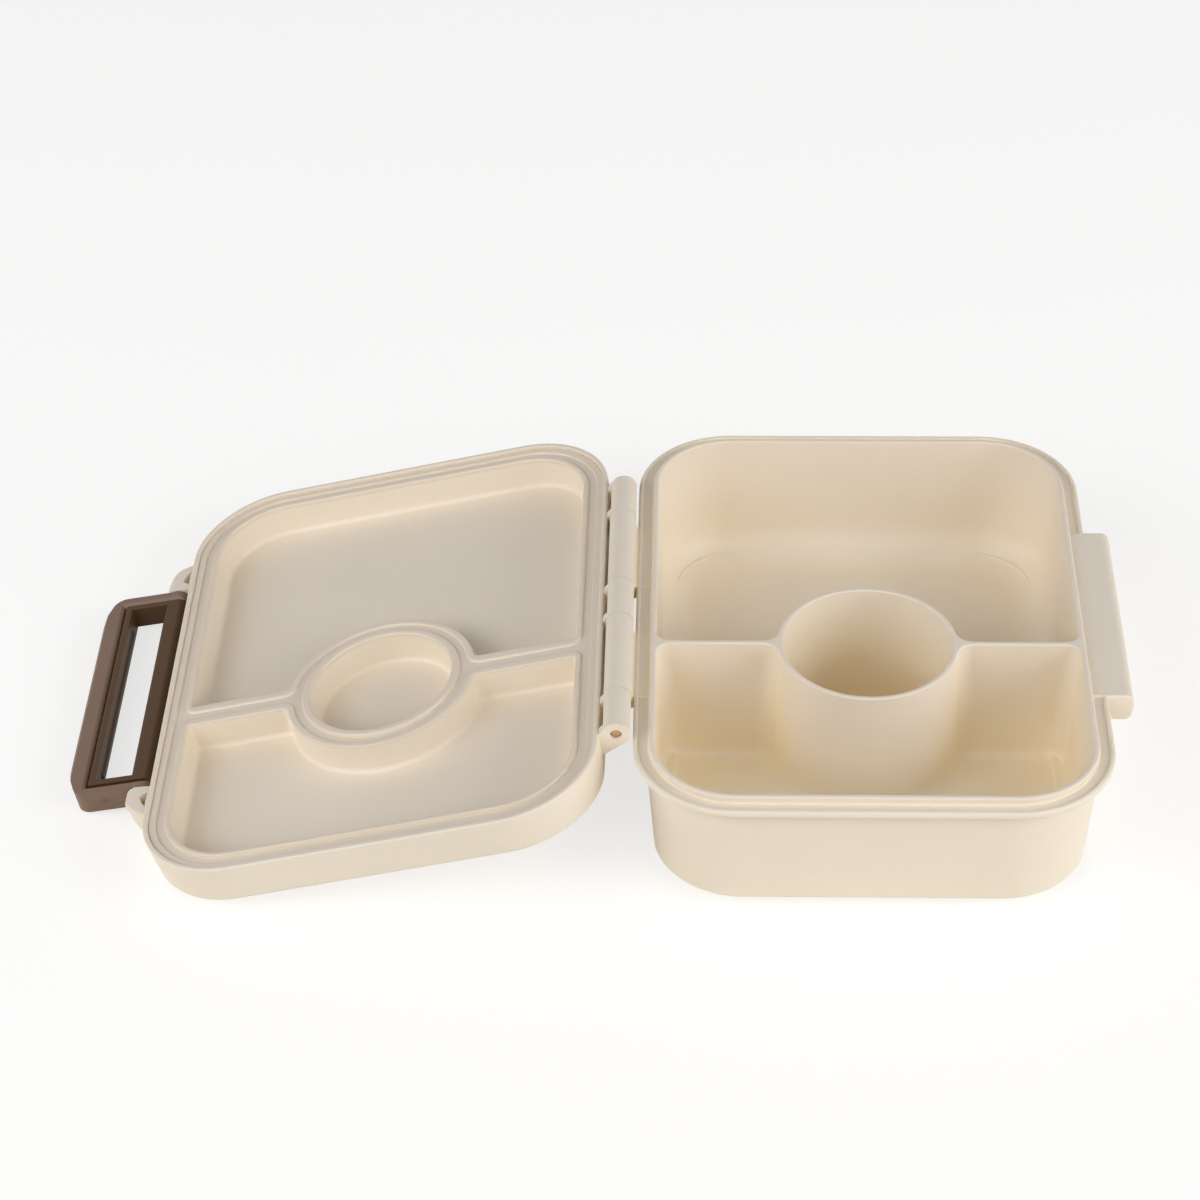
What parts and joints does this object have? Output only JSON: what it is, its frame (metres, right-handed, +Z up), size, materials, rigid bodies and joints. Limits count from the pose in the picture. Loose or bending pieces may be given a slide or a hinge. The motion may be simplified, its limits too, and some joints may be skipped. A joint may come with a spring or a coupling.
{
  "type": "snack container",
  "caption": "Hinged snack box for a toddler, lying open: a divided cream tray with a round cup, a lid with a silicone seal, and a brown snap latch with a carry handle.",
  "frame": {"origin": "on the table, under the middle of the box", "axes": "X across the box from the hinge towards the catch, Y along the hinge, Z up; the open lid lies towards -X"},
  "size_m": [0.2655, 0.1548, 0.0403],
  "materials": {
    "shell_plastic": "moulded polypropylene, fine satin, cream",
    "gasket_silicone": "soft translucent silicone",
    "latch_plastic": "moulded plastic, fine satin, brown",
    "pin_steel": "drawn stainless rod"
  },
  "bodies": {
    "box": {"base_box": "shell_plastic", "hinge_pin": "pin_steel"},
    "lid": {"lid_shell": "shell_plastic", "lid_gasket": "gasket_silicone", "latch_pin": "pin_steel"},
    "latch": {"latch_frame": "latch_plastic"},
    "handle": {"carry_handle": "latch_plastic"}
  },
  "joints": [
    {"name": "lid_hinge", "type": "hinge", "parent": "box", "child": "lid", "pos_m": [-0.062, 0, 0.03687], "axis": [0, 1, 0], "range_deg": [0, 193.29]},
    {"name": "latch_pivot", "type": "hinge", "parent": "lid", "child": "latch", "pos_m": [-0.18168, 0, 0.00652], "axis": [0, 1, 0], "range_deg": [-90, 87.49]},
    {"name": "handle_pivot", "type": "hinge", "parent": "lid", "child": "handle", "pos_m": [-0.18168, 0, 0.00652], "axis": [0, 1, 0], "range_deg": [-90, 87.49]}
  ]
}
